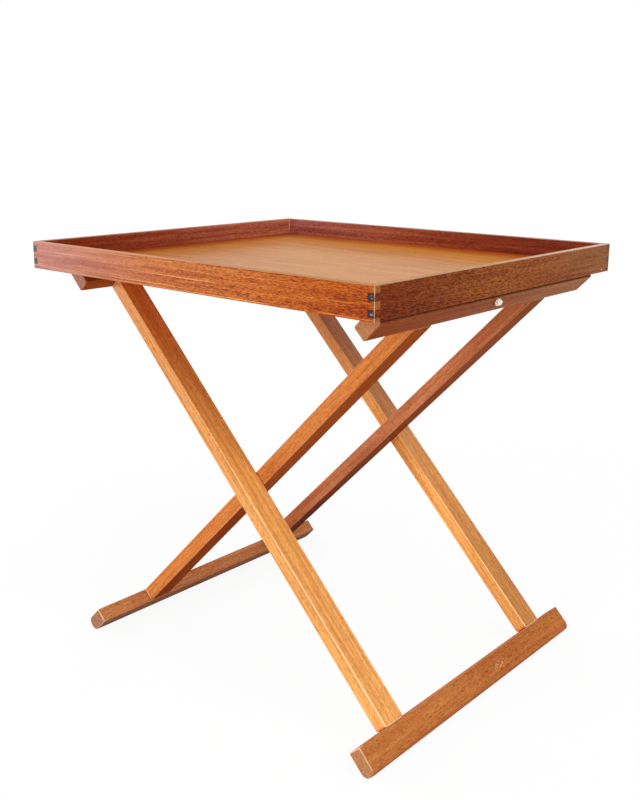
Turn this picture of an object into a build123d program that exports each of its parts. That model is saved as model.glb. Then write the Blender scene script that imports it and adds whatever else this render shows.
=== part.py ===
from build123d import *
import math
import os

# Folding tray table: a loose tray with finger joints lies on a stand of two crossed frames.
# Millimetres, +Z up, +X along the tray's long side, -Y the front.
# The origin is on the floor under the middle of the tray.

# Tray
TRAY_LENGTH = 600.0
TRAY_WIDTH = 514.0
BOARD_HEIGHT = 37.0
BOARD_THICKNESS = 9.0
FINGER_HEIGHT = 8.4
MIDDLE_FINGERS = 3
RIGHT_FINGER_DROP = 1.7
RIM_RADIUS = 1.2
CORNER_RADIUS = 1.0
PANEL_THICKNESS = 5.0
PANEL_TONGUE = 3.5
PANEL_EDGE_GAP = 0.3
PANEL_RECESS = 7.5
GROOVE_DEPTH = 4.0
PANEL_CLEARANCE = 0.2

# Where the tray lies on the stand
RAIL_PLAY = 55.4
TRAY_SHIFT = 19.0
RAIL_END_GAP = 16.0
SEAT_GAP = 0.3

# Legs
LEG_LENGTH = 688.0
PIVOT_TO_FOOT = 345.0
LEG_THICKNESS = 20.0
LEG_WIDTH = 34.0
LEG_SETBACK = 52.0
LEG_EDGE_RADIUS = 1.2
LEG_FOOT_RADIUS = 3.5

# Top rails and foot rails
RAIL_THICKNESS = 20.0
RAIL_HEIGHT = 32.0
RAIL_EDGE_RADIUS = 3.0
FOOT_THICKNESS = 21.0
FOOT_HEIGHT = 35.0
FOOT_UPPER_RADIUS = 1.2
FOOT_SOLE_FLAT = 2.0
BAR_END_RADIUS = 1.5

# Glued dowels at the leg ends
DOWEL_DIAMETER = 8.0
DOWEL_SPACING = 16.0
DOWEL_IN_LEG = 22.0
DOWEL_IN_BAR = 18.0
DOWEL_CLEARANCE = 0.05
DOWEL_END_GAP = 0.8

# Hidden pivots
PIN_DIAMETER = 8.0
PIN_DEPTH = 22.0
PIN_CLEARANCE = 0.05
PIN_END_GAP = 0.5
WASHER_DIAMETER = 20.0
WASHER_THICKNESS = 1.0
PIVOT_GAP = 0.1

# Cord that stops the stand from spreading
CORD_DIAMETER = 3.5
CORD_HOLE_CLEARANCE = 1.0
CORD_HEIGHT_IN_RAIL = 22.0
CORD_BEND_RADIUS = 6.0
CORD_BEND_OFFSET = 1.5
KNOT_DIAMETER = 9.0
KNOT_PROUD = 2.5
KNOT_CLEARANCE = 1.0
KNOT_SEAT_GAP = 0.3

# Places that follow from the sizes above
inner_length = TRAY_LENGTH - 2 * BOARD_THICKNESS
inner_width = TRAY_WIDTH - 2 * BOARD_THICKNESS
bar_length = inner_width - 2 * RAIL_END_GAP
leg_top = LEG_LENGTH - PIVOT_TO_FOOT
rail_top = leg_top + RAIL_HEIGHT
foot_bottom = PIVOT_TO_FOOT + FOOT_HEIGHT
foot_lower_radius = (FOOT_THICKNESS - FOOT_SOLE_FLAT) / 2
half_span = (inner_length - RAIL_PLAY) / 2
leg_angle = math.acos(half_span / rail_top)
lean = 90 - math.degrees(leg_angle)
leg_gap = WASHER_THICKNESS + PIVOT_GAP
outer_leg_y = bar_length / 2 - LEG_SETBACK - LEG_WIDTH / 2
inner_leg_y = outer_leg_y - LEG_WIDTH - leg_gap


def rounded_corner_height(along, across, radius):
    """Height above the pivot of a leaning bar's upper corner, rounded by radius."""
    return (along - radius) * math.sin(leg_angle) + (across - radius) * math.cos(leg_angle) + radius


pivot_x = TRAY_SHIFT
pivot_z = rounded_corner_height(foot_bottom, FOOT_THICKNESS / 2, foot_lower_radius)
rail_seat_z = pivot_z + rounded_corner_height(rail_top, RAIL_THICKNESS / 2, RAIL_EDGE_RADIUS)
panel_z = rail_seat_z + SEAT_GAP
board_z = panel_z - PANEL_RECESS


def box_between(low, high):
    """Box from its lowest corner to its highest corner."""
    return Pos(*low) * Box(*(h - l for l, h in zip(low, high)), align=(Align.MIN, Align.MIN, Align.MIN))


def rod_along(axis, diameter, low, high):
    """Round rod on the X, Y or Z axis, from low to high along it."""
    turn = {Axis.X: Rot(0, 90, 0), Axis.Y: Rot(-90, 0, 0), Axis.Z: Rot(0, 0, 0)}[axis]
    rod = Cylinder(diameter / 2, high - low, align=(Align.CENTER, Align.CENTER, Align.MIN))
    return turn * Pos(0, 0, low) * rod


# Tray boards

def tray_wall():
    """The four boards as one ring, with eased corners and a rounded rim."""
    top = board_z + BOARD_HEIGHT
    wall = box_between(
        (-TRAY_LENGTH / 2, -TRAY_WIDTH / 2, board_z),
        (TRAY_LENGTH / 2, TRAY_WIDTH / 2, top),
    )
    wall = fillet(wall.edges().filter_by(Axis.Z), CORNER_RADIUS)
    wall -= box_between(
        (-inner_length / 2, -inner_width / 2, board_z),
        (inner_length / 2, inner_width / 2, top),
    )
    return fillet(wall.faces().sort_by(Axis.Z)[-1].edges(), RIM_RADIUS)


def finger_levels(drop):
    """Heights of the joint lines, from the lower edge up: lowest finger, the equal ones, top one."""
    margin = (BOARD_HEIGHT - MIDDLE_FINGERS * FINGER_HEIGHT) / 2 - drop
    inner = [margin + i * FINGER_HEIGHT for i in range(MIDDLE_FINGERS + 1)]
    return [board_z + level for level in [0, *inner, BOARD_HEIGHT]]


def corner_blocks(first):
    """Every second finger of all four corners, starting with the one numbered first from below."""
    blocks = []
    for side_x, drop in ((-1, 0), (1, RIGHT_FINGER_DROP)):
        levels = finger_levels(drop)
        x = side_x * (TRAY_LENGTH - BOARD_THICKNESS) / 2
        for low, high in list(zip(levels, levels[1:]))[first::2]:
            block = Box(BOARD_THICKNESS, BOARD_THICKNESS, high - low)
            for side_y in (-1, 1):
                y = side_y * (TRAY_WIDTH - BOARD_THICKNESS) / 2
                blocks.append(Pos(x, y, (low + high) / 2) * block)
    return Part() + blocks


def panel_tongue(gap):
    """Thinner edge of the bottom panel, made larger by gap all round for the groove that holds it."""
    half_x = inner_length / 2 + GROOVE_DEPTH - PANEL_CLEARANCE + gap
    half_y = inner_width / 2 + GROOVE_DEPTH - PANEL_CLEARANCE + gap
    return box_between(
        (-half_x, -half_y, panel_z - gap / 2),
        (half_x, half_y, panel_z + PANEL_TONGUE + gap / 2),
    )


def bottom_panel():
    """Panel whose flat top lies free between the boards, with a tongue all round in their groove."""
    half_x = inner_length / 2 - PANEL_EDGE_GAP
    half_y = inner_width / 2 - PANEL_EDGE_GAP
    return panel_tongue(0) + box_between(
        (-half_x, -half_y, panel_z),
        (half_x, half_y, panel_z + PANEL_THICKNESS),
    )


def tray_boards():
    """Front and back boards keep the lowest, middle and top fingers, the end boards the other two."""
    wall = tray_wall() - panel_tongue(PANEL_CLEARANCE)
    end_fingers = corner_blocks(1)
    long_fingers = corner_blocks(0)
    boards = {}
    for name, side in (("front", -1), ("back", 1)):
        strip = Pos(0, side * (TRAY_WIDTH - BOARD_THICKNESS) / 2, board_z + BOARD_HEIGHT / 2)
        strip *= Box(TRAY_LENGTH, BOARD_THICKNESS, BOARD_HEIGHT)
        boards[f"tray_{name}_board"] = (wall & strip) - end_fingers
    for name, side in (("left", -1), ("right", 1)):
        strip = Pos(side * (TRAY_LENGTH - BOARD_THICKNESS) / 2, 0, board_z + BOARD_HEIGHT / 2)
        strip *= Box(BOARD_THICKNESS, TRAY_WIDTH, BOARD_HEIGHT)
        boards[f"tray_{name}_board"] = (wall & strip) - long_fingers
    return boards


# Stand pieces, each made upright with the pivot at the origin

def dowel_rods(leg_y, end, diameter, end_gap):
    """Two dowels across one leg end. End is 1 at the top rail and -1 at the foot rail."""
    leg_end = leg_top if end > 0 else PIVOT_TO_FOOT
    low = leg_end - DOWEL_IN_LEG - end_gap
    high = leg_end + DOWEL_IN_BAR + end_gap
    rods = []
    for side in (-1, 1):
        y = leg_y + side * DOWEL_SPACING / 2
        rods.append(Pos(0, y, 0) * rod_along(Axis.Z, diameter, *sorted((end * low, end * high))))
    return rods


def dowel_holes(leg_y, end):
    """Holes for the two dowels of one leg end, with room for glue."""
    return Part() + dowel_rods(leg_y, end, DOWEL_DIAMETER + 2 * DOWEL_CLEARANCE, DOWEL_END_GAP)


def leg(leg_y, pin_hole, under):
    """Leg with a rounded shoulder at the foot, dowel holes in both ends and a blind pivot hole.

    Under is the side of X that faces down. The shoulder leaves out the edge on the other side.
    """
    bar = Pos(0, leg_y, (leg_top - PIVOT_TO_FOOT) / 2) * Box(LEG_THICKNESS, LEG_WIDTH, LEG_LENGTH)
    shoulder = bar.faces().sort_by(Axis.Z)[0].edges().sort_by(Axis.X)
    bar = fillet(shoulder[:-1] if under < 0 else shoulder[1:], LEG_FOOT_RADIUS)
    bar = fillet(bar.edges().filter_by(Axis.Z), LEG_EDGE_RADIUS)
    return bar - dowel_holes(leg_y, 1) - dowel_holes(leg_y, -1) - pin_hole


def cross_bar(thickness, low, high, lower_radius, upper_radius):
    """Bar across the frame, with rounded long edges and eased ends."""
    bar = Pos(0, 0, (low + high) / 2) * Box(thickness, bar_length, high - low)
    bar = fillet(bar.edges().filter_by(Axis.Y).group_by(Axis.Z)[0], lower_radius)
    bar = fillet(bar.edges().filter_by(Axis.Y).group_by(Axis.Z)[-1], upper_radius)
    ends = bar.faces().filter_by(Axis.Y)
    return fillet(ends.edges(), BAR_END_RADIUS)


def cord_hole(side):
    """Hole for the cord with a pocket for its knot on the rail's outer face, on the side of X."""
    half = RAIL_THICKNESS / 2
    pocket = KNOT_DIAMETER / 2 - KNOT_PROUD + KNOT_SEAT_GAP
    hole = rod_along(Axis.X, CORD_DIAMETER + 2 * CORD_HOLE_CLEARANCE, -RAIL_THICKNESS, RAIL_THICKNESS)
    hole += rod_along(
        Axis.X,
        KNOT_DIAMETER + 2 * KNOT_CLEARANCE,
        *sorted((side * (half - pocket), side * (half + pocket))),
    )
    return Pos(0, 0, leg_top + CORD_HEIGHT_IN_RAIL) * hole


def pivot_rod(side, diameter, end_gap):
    """Pin on the pivot axis, half in the outer leg and half in the inner leg. Side is -1 at the front."""
    seam = inner_leg_y + LEG_WIDTH / 2
    low = seam - PIN_DEPTH - end_gap
    high = seam + leg_gap + PIN_DEPTH + end_gap
    return rod_along(Axis.Y, diameter, *sorted((side * low, side * high)))


def washer(side):
    """Washer round the pin, flat on the outer leg's inner face."""
    outer_face = inner_leg_y + LEG_WIDTH / 2 + leg_gap
    span = sorted((side * (outer_face - WASHER_THICKNESS), side * outer_face))
    ring = rod_along(Axis.Y, WASHER_DIAMETER, *span)
    return ring - rod_along(Axis.Y, PIN_DIAMETER + 2 * PIN_CLEARANCE, *span)


def frame_pieces(name, leg_y, under):
    """One frame of the stand: two legs, a top rail, a foot rail and the dowels between them."""
    pieces = {}
    rail = cross_bar(RAIL_THICKNESS, leg_top, rail_top, RAIL_EDGE_RADIUS, RAIL_EDGE_RADIUS)
    foot = cross_bar(FOOT_THICKNESS, -foot_bottom, -PIVOT_TO_FOOT, foot_lower_radius, FOOT_UPPER_RADIUS)
    rail -= cord_hole(under)
    dowels = {"top": [], "foot": []}
    for place, side in (("front", -1), ("back", 1)):
        pin_hole = pivot_rod(side, PIN_DIAMETER + 2 * PIN_CLEARANCE, PIN_END_GAP)
        pieces[f"{name}_{place}_leg"] = leg(side * leg_y, pin_hole, under)
        rail -= dowel_holes(side * leg_y, 1)
        foot -= dowel_holes(side * leg_y, -1)
        dowels["top"] += dowel_rods(side * leg_y, 1, DOWEL_DIAMETER, 0)
        dowels["foot"] += dowel_rods(side * leg_y, -1, DOWEL_DIAMETER, 0)
    pieces[f"{name}_top_rail"] = rail
    pieces[f"{name}_foot_rail"] = foot
    for place, rods in dowels.items():
        pieces[f"{name}_{place}_dowels"] = Compound(children=rods)
    return pieces


# Cord

def leaning_point(side, x, z):
    """Point of an upright frame, in the plane of the legs, after the frame leans to a side of X."""
    turn = math.radians(side * lean)
    return Vector(
        pivot_x + z * math.sin(turn) + x * math.cos(turn),
        0,
        pivot_z + z * math.cos(turn) - x * math.sin(turn),
    )


def cord_route():
    """From knot to knot: through one rail, straight across under the tray and through the other."""
    height = leg_top + CORD_HEIGHT_IN_RAIL
    outside = RAIL_THICKNESS / 2 + KNOT_PROUD
    inside = -RAIL_THICKNESS / 2 - CORD_BEND_OFFSET
    return [
        leaning_point(1, outside, height),
        leaning_point(1, inside, height),
        leaning_point(-1, -inside, height),
        leaning_point(-1, -outside, height),
    ]


def spread_cord():
    """Taut cord that joins the two top rails, with a knot in the outer face of each."""
    points = cord_route()
    path = FilletPolyline(*points, radius=CORD_BEND_RADIUS)
    section = Plane(origin=points[0], z_dir=path % 0) * Circle(CORD_DIAMETER / 2)
    tube = sweep(section, path=path)
    print("cord length", round(path.length, 1), "volume over section", round(tube.volume / section.area, 1))
    knots = [Pos(*end) * Sphere(KNOT_DIAMETER / 2) for end in (points[0], points[-1])]
    return tube + knots


def main():
    """Builds every piece in its place and writes one file for each."""
    outer_lean = Pos(pivot_x, 0, pivot_z) * Rot(0, -lean, 0)
    inner_lean = Pos(pivot_x, 0, pivot_z) * Rot(0, lean, 0)
    nodes = tray_boards()
    nodes["tray_bottom_panel"] = bottom_panel()
    for piece, shape in frame_pieces("outer", outer_leg_y, -1).items():
        nodes[piece] = outer_lean * shape
    for piece, shape in frame_pieces("inner", inner_leg_y, 1).items():
        nodes[piece] = inner_lean * shape
    for place, side in (("front", -1), ("back", 1)):
        nodes[f"{place}_pivot_pin"] = outer_lean * pivot_rod(side, PIN_DIAMETER, 0)
        nodes[f"{place}_pivot_washer"] = outer_lean * washer(side)
    nodes["spread_cord"] = spread_cord()

    print("leg angle", round(math.degrees(leg_angle), 2), "pivot height", round(pivot_z, 2))
    print("tray rim height", round(board_z + BOARD_HEIGHT, 2), "bar length", round(bar_length, 1))
    os.makedirs("parts", exist_ok=True)
    for name, shape in nodes.items():
        export_step(shape, f"parts/{name}.step")


main()
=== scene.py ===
"""Folding tray table: wood finishes for the tray and the stand, and the cord between the top rails."""

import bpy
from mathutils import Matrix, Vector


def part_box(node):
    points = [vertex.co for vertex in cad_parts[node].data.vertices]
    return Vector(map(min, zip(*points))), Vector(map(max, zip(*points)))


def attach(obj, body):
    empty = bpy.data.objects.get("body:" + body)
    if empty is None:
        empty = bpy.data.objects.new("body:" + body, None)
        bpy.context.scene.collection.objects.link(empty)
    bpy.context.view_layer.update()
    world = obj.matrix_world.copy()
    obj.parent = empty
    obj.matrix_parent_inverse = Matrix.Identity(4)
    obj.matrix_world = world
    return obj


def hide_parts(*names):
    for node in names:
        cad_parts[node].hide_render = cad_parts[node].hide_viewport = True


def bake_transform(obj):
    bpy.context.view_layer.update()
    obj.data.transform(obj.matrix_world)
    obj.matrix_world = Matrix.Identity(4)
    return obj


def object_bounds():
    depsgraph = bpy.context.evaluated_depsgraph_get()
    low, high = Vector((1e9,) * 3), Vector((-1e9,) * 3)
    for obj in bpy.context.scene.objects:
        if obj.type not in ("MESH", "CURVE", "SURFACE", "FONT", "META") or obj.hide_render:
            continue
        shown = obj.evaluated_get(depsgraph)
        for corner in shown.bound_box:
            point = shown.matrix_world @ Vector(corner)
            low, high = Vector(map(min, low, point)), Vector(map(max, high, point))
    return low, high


bl_info = {
    "name": "Folding tray table",
    "version": (1, 1, 0),
    "blender": (4, 5, 0),
    "location": "View3D > Sidebar > Tray Table",
    "description": "Dresses the folding tray table in oiled wood and adds its spread cord",
    "category": "Object",
}

import math
from typing import NamedTuple

import bpy
import numpy as np
from bpy.props import FloatProperty, FloatVectorProperty, PointerProperty
from mathutils import Euler, Matrix, Vector

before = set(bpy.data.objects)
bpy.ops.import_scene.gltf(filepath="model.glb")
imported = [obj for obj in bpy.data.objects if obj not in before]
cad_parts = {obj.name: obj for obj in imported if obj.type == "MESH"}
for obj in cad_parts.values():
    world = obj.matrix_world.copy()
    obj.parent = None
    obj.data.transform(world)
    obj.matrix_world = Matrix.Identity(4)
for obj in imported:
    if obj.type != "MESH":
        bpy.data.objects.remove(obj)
CAD_BOX = [list(corner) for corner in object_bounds()]


# Shapes read from the frame

def node_points(node):
    """Every vertex of a CAD node as rows of x, y, z."""
    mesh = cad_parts[node].data
    points = np.empty(len(mesh.vertices) * 3, np.float32)
    mesh.vertices.foreach_get("co", points)
    return points.reshape(-1, 3).astype(float)


def leg_lean(node):
    """Angle of a leg from the vertical towards +X, from the direction of its largest sloping face."""
    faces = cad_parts[node].data.polygons
    areas = np.empty(len(faces), np.float32)
    normals = np.empty(len(faces) * 3, np.float32)
    faces.foreach_get("area", areas)
    faces.foreach_get("normal", normals)
    normals = normals.reshape(-1, 3).astype(float)
    sloping = np.abs(normals[:, 1]) < 0.1
    x, _, z = normals[np.argmax(areas * sloping)]
    return math.atan(-z / x)


OUTER_LEAN = leg_lean("outer_front_leg")
INNER_LEAN = leg_lean("inner_front_leg")
QUARTER = math.pi / 2

# Top of the near corner of the tray, and the height of the boards' lower edges
TRAY_CORNER = (CAD_BOX[1][0], CAD_BOX[0][1], CAD_BOX[1][2])
UNDER_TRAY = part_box("tray_right_board")[0][2]

# How the grain runs: a turn that lays the local Z axis along the wood
ALONG_X = (0, QUARTER, 0)
ALONG_Y = (-QUARTER, 0, 0)
OUTER_LEG = (0, OUTER_LEAN, 0)
INNER_LEG = (0, INNER_LEAN, 0)
OUTER_BAR = (-QUARTER, OUTER_LEAN, 0)
INNER_BAR = (-QUARTER, INNER_LEAN, 0)


def grain_box(node, turn):
    """Centre in the row frame and half sizes along the grain's own axes, from the turned vertices."""
    matrix = np.array(Euler(turn).to_matrix())
    local = node_points(node) @ matrix
    low, high = local.min(0), local.max(0)
    return matrix @ (low + high) / 2, (high - low) / 2


# Properties

def colour(name, words, value):
    """Colour property with linear values."""
    return FloatVectorProperty(
        name=name, description=words, subtype="COLOR", size=3, min=0, max=1, default=value
    )


def length(name, words, value):
    """Length property in metres."""
    return FloatProperty(name=name, description=words, unit="LENGTH", min=0, default=value)


def power(name, words, value):
    """Lamp power property in watts."""
    return FloatProperty(name=name, description=words, unit="POWER", min=0, default=value)


class TrayColours(bpy.types.PropertyGroup):
    """Mean colours of the tray's woods, and the width of the panel's rim, which is painted shade and
    painted reflection of the boards.
    """

    # The front board's pinker, paler left end is partly painted sheen
    front_left: colour("Front board, left", "At its left end", (0.375, 0.126, 0.085))
    front_middle: colour("Front board, middle", "At its middle", (0.43, 0.118, 0.02))
    front_right: colour("Front board, right", "At its right end", (0.35, 0.065, 0.003))
    right_near: colour("Right board, near", "At its front end", (0.155, 0.023, 0.002))
    right_middle: colour("Right board, middle", "At its middle", (0.26, 0.07, 0.013))
    right_far: colour("Right board, far", "At its back end", (0.25, 0.09, 0.03))
    back_left: colour("Back board, left", "At its left end", (0.36, 0.1, 0.07))
    back_middle: colour("Back board, middle", "At its middle", (0.33, 0.07, 0.025))
    back_right: colour("Back board, right", "At its right end", (0.2, 0.028, 0.008))
    left_near: colour("Left board, near", "At its front end", (0.21, 0.027, 0.006))
    left_far: colour("Left board, far", "At its back end", (0.42, 0.118, 0.062))
    panel: colour("Panel", "Middle of the bottom panel", (0.63, 0.235, 0.035))
    # The panel's rim is painted shade and painted reflection of the boards, and its strip along the left
    # board is painted shadow
    panel_edge_shade: colour("Panel rim", "Bottom panel along the boards", (0.45, 0.065, 0.004))
    panel_edge_shade_width: length("Panel rim width", "Reach of the rim's colour", 0.074)
    panel_left_shadow: colour("Panel, left", "Bottom panel along the left board", (0.36, 0.045, 0.003))
    front_ends: colour("Front board ends", "End grain of the front board", (0.39, 0.138, 0.036))
    back_ends: colour("Back board ends", "End grain of the back board", (0.2, 0.1, 0.05))
    side_ends: colour("Side board ends", "End grain of the two side boards", (0.06, 0.024, 0.026))
    # The pale tops of the boards and the pale near corner are partly rubbing of the wood and partly
    # painted highlight
    rim_left: colour("Front rim, left", "Front board's top, left end", (0.62, 0.3, 0.16))
    rim_right: colour("Front rim, right", "Front board's top, right end", (0.5, 0.22, 0.08))
    rim_near: colour("Right rim, near", "Right board's top, front end", (0.5, 0.27, 0.13))
    rim_far: colour("Right rim, far", "Right board's top, back end", (0.64, 0.44, 0.33))
    rim_behind: colour("Other rims", "Tops of the left and back boards", (0.42, 0.22, 0.15))
    worn_and_highlit: colour("Worn corner", "Pale rubbed wood at the near corner", (0.95, 0.7, 0.55))


class StandColours(bpy.types.PropertyGroup):
    """Mean colours of the stand's woods."""

    # The outer legs darken under the tray partly as painted shade of the tray and partly as the wood's
    # redder tint. The outer back leg's lighter middle is painted light, and the inner back leg's dark foot
    # is painted shade
    outer_front_foot: colour("Outer front leg, low", "At the foot", (0.83, 0.39, 0.115))
    outer_front_top: colour("Outer front leg, high", "Under the tray", (0.62, 0.25, 0.08))
    outer_back_foot: colour("Outer back leg, low", "At the foot", (0.78, 0.34, 0.09))
    outer_back_middle: colour("Outer back leg, middle", "At its middle", (0.91, 0.395, 0.105))
    outer_back_top: colour("Outer back leg, high", "Under the tray", (0.42, 0.147, 0.05))
    inner_front_foot: colour("Inner front leg, low", "At the foot", (0.61, 0.2, 0.05))
    inner_front_top: colour("Inner front leg, high", "Under the tray", (0.55, 0.18, 0.046))
    inner_back_foot: colour("Inner back leg, low", "At the foot", (0.38, 0.112, 0.04))
    inner_back_top: colour("Inner back leg, high", "Under the tray", (0.5, 0.17, 0.07))
    rail_near: colour("Rails, near", "Top rails at the front", (0.31, 0.062, 0.004))
    rail_far: colour("Rails, far", "Top rails at the back", (0.45, 0.19, 0.09))
    outer_bar: colour("Right foot", "Foot rail of the outer legs", (0.48, 0.16, 0.042))
    inner_bar: colour("Left foot", "Foot rail of the inner legs", (0.56, 0.215, 0.08))
    outer_rail_ends: colour("Left rail ends", "End grain of the left top rail", (0.385, 0.158, 0.09))
    inner_rail_ends: colour("Right rail ends", "End grain of the right top rail", (0.52, 0.225, 0.1))
    bar_ends: colour("Foot ends", "End grain of the right foot and the legs", (0.56, 0.25, 0.11))
    inner_bar_ends: colour("Left foot ends", "End grain of the left foot", (0.445, 0.212, 0.13))
    # Pale arrises: partly rubbing of the wood and partly painted highlight
    worn_and_highlit: colour("Worn edges", "Pale rubbed wood on the arrises", (0.95, 0.72, 0.45))
    dowel: colour("Dowels", "Bare wood of the dowels", (0.6, 0.42, 0.26))
    steel: colour("Pivots", "Steel of the pins and washers", (0.56, 0.56, 0.57))


class CordSizes(bpy.types.PropertyGroup):
    """Sizes and colour of the cord between the top rails."""

    diameter: length("Diameter", "Thickness of the cord", 0.0035)
    strand: length("Knot strand", "Thickness of the cord where it is pulled tight in its knot", 0.0041)
    loop: length("Knot loop", "Middle size of the knot's three loops", 0.00115)
    lift: length("Knot lift", "How far the knot sits above the middle of its hole", 0.0026)
    aside: length("Knot aside", "How far the knot sits in front of the middle of its hole", 0.0014)
    tail: length("Tail", "Length of the loose end that sticks out of the knot", 0.008)
    colour: colour("Cord", "White of the cord", (0.98, 0.97, 0.96))


class StageSettings(bpy.types.PropertyGroup):
    """Camera, floor and lights."""

    lens: FloatProperty(name="Lens", description="Focal length in millimetres", default=43.684)
    yaw: FloatProperty(name="Yaw", description="Turn of the camera", subtype="ANGLE", default=0.7313)
    pitch: FloatProperty(name="Pitch", description="Downward look", subtype="ANGLE", default=0.2415)
    roll: FloatProperty(name="Roll", description="Tilt of the picture", subtype="ANGLE", default=0.0019)
    place: FloatVectorProperty(
        name="Place", description="Where the camera stands", subtype="TRANSLATION", size=3,
        default=(0.8832688, -0.9976032, 0.7199962),
    )
    shift: FloatVectorProperty(
        name="Shift", description="Offset of the picture's middle, in widths of its longer side", size=2,
        default=(0.00909, -0.03318),
    )
    floor: colour("Floor", "Pale floor under the table", (0.46, 0.36, 0.25))
    front_power: power("Front light", "Tall soft light in front of the table", 52)
    window_power: power("Window light", "Low light from the front left", 95)
    right_power: power("Right light", "Tall soft light at the right", 41)
    sky_power: power("Sky light", "Soft light from above", 22)
    back_power: power("Back light", "Soft light from behind", 32)
    left_power: power("Left light", "Soft light from the left", 32)
    ambient: FloatProperty(name="Ambient", description="Even light from all round", min=0, default=0.2)


class TrayTable(bpy.types.PropertyGroup):
    """All settings of the table."""

    tray: PointerProperty(type=TrayColours)
    stand: PointerProperty(type=StandColours)
    cord: PointerProperty(type=CordSizes)
    stage: PointerProperty(type=StageSettings)


# Surfaces

# Braid: length of one pattern in diameters, and depth of the dips between strands as a share of the radius
BRAID_PITCH = 2.2
BRAID_DEPTH = 0.06

# Round ends: least share of the radius, squared, and how far the tip stands past the last ring, in metres
END_LEAST = 1e-4
END_TIP = 1e-5

# Points that the smooth line gets for each of its spans
SPLINE_STEPS = 128


def grid_faces(rows, columns):
    """Quads of a grid that is closed round its columns."""
    row, column = np.meshgrid(np.arange(rows - 1), np.arange(columns), indexing="ij")
    after = (column + 1) % columns
    corners = (row * columns + column, row * columns + after, (row + 1) * columns + after,
               (row + 1) * columns + column)
    return np.stack(corners, -1).reshape(-1, 4)


def unit(rows):
    """Each row divided by its length."""
    return rows / np.linalg.norm(rows, axis=-1, keepdims=True)


def braided_tube(name, points, diameter, beside, sides=24):
    """Tube with closed round ends: p(s, a) = path(s) + r(s, a) (u(s) cos a + v(s) sin a).

    u is across the path's tangent and the direction beside, which the path never takes, and v is across
    both the tangent and u. The radius r swells where two sets of four strands cross, as
    |cos(2a + ks) cos(2a - ks)|, and falls to nothing as a quarter circle at both ends. The UV map holds
    the angle and the distance in diameters.
    """
    points = np.asarray(points, float)
    tangents = unit(np.gradient(points, axis=0))
    u = unit(np.cross(tangents, beside))
    v = np.cross(tangents, u)
    steps = np.linalg.norm(np.diff(points, axis=0), axis=1)
    run = np.concatenate([[0], np.cumsum(steps)])
    radius = diameter / 2
    to_end = np.minimum(run, run[-1] - run)
    ends = np.sqrt(np.clip(1 - np.clip(1 - to_end / radius, 0, 1) ** 2, END_LEAST, 1))
    angle = np.arange(sides) * 2 * np.pi / sides
    twist = run[:, None] * np.pi / (BRAID_PITCH * diameter)
    weave = np.abs(np.cos(2 * angle + twist) * np.cos(2 * angle - twist))
    reach = (radius * ends)[:, None] * (1 - BRAID_DEPTH + BRAID_DEPTH * weave)
    ring = u[:, None] * np.cos(angle)[None, :, None] + v[:, None] * np.sin(angle)[None, :, None]
    surface = (points[:, None] + reach[..., None] * ring).reshape(-1, 3)
    tips = np.stack([points[0] - tangents[0] * END_TIP, points[-1] + tangents[-1] * END_TIP])
    rows = len(points)
    first, last = rows * sides, rows * sides + 1
    around = np.arange(sides)
    after = (around + 1) % sides
    last_ring = (rows - 1) * sides
    fans = [
        np.stack([np.full(sides, first), after, around], 1),
        np.stack([np.full(sides, last), last_ring + around, last_ring + after], 1),
    ]
    faces = [*grid_faces(rows, sides).tolist(), *np.concatenate(fans).tolist()]
    mesh = bpy.data.meshes.new(name)
    mesh.from_pydata(np.concatenate([surface, tips]).tolist(), [], faces)
    mesh.update()
    turn = np.concatenate([np.tile(angle / (2 * np.pi), rows), [0, 0]])
    along = np.concatenate([np.repeat(run / diameter, sides), [0, run[-1] / diameter]])
    loops = np.empty(len(mesh.loops), np.int32)
    mesh.loops.foreach_get("vertex_index", loops)
    layer = mesh.uv_layers.new(name="wrap")
    layer.data.foreach_set("uv", np.stack([turn[loops], along[loops]], 1).astype(np.float32).ravel())
    mesh.polygons.foreach_set("use_smooth", np.ones(len(mesh.polygons), bool))
    made = bpy.data.objects.new(name, mesh)
    bpy.context.scene.collection.objects.link(made)
    return made


def spline_points(route):
    """Points of a smooth NURBS line whose control points are the route."""
    curve = bpy.data.curves.new("route", "CURVE")
    curve.dimensions = "3D"
    curve.resolution_u = SPLINE_STEPS
    spline = curve.splines.new("NURBS")
    spline.points.add(len(route) - 1)
    spline.points.foreach_set("co", [value for point in route for value in (*point, 1)])
    spline.order_u = 3
    spline.use_endpoint_u = True
    holder = bpy.data.objects.new("route", curve)
    line = bpy.data.meshes.new_from_object(holder)
    points = np.array([vertex.co for vertex in line.vertices])
    bpy.data.objects.remove(holder)
    bpy.data.curves.remove(curve)
    bpy.data.meshes.remove(line)
    return points


# Finishes

class Shading:
    """Node tree in the making: adds shader nodes and joins them."""

    def __init__(self, tree):
        self.tree = tree

    def join(self, value, socket):
        """Links a socket, or sets a plain value."""
        if isinstance(value, bpy.types.NodeSocket):
            self.tree.links.new(value, socket)
        else:
            socket.default_value = value

    def node(self, kind, inputs=None, **settings):
        """New node with its settings and inputs."""
        made = self.tree.nodes.new(kind)
        for key, value in settings.items():
            setattr(made, key, value)
        for key, value in (inputs or {}).items():
            self.join(value, made.inputs[key])
        return made

    def math(self, operation, *values):
        """Number worked out from one to three numbers."""
        return self.node("ShaderNodeMath", dict(enumerate(values)), operation=operation).outputs[0]

    def seen(self):
        """1 for what the camera sees, also in a reflection or through something, and 0 for light."""
        rays = self.node("ShaderNodeLightPath").outputs
        beyond = self.math("MAXIMUM", rays["Is Glossy Ray"], rays["Is Transmission Ray"])
        return self.math("MAXIMUM", rays["Is Camera Ray"], beyond)


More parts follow.
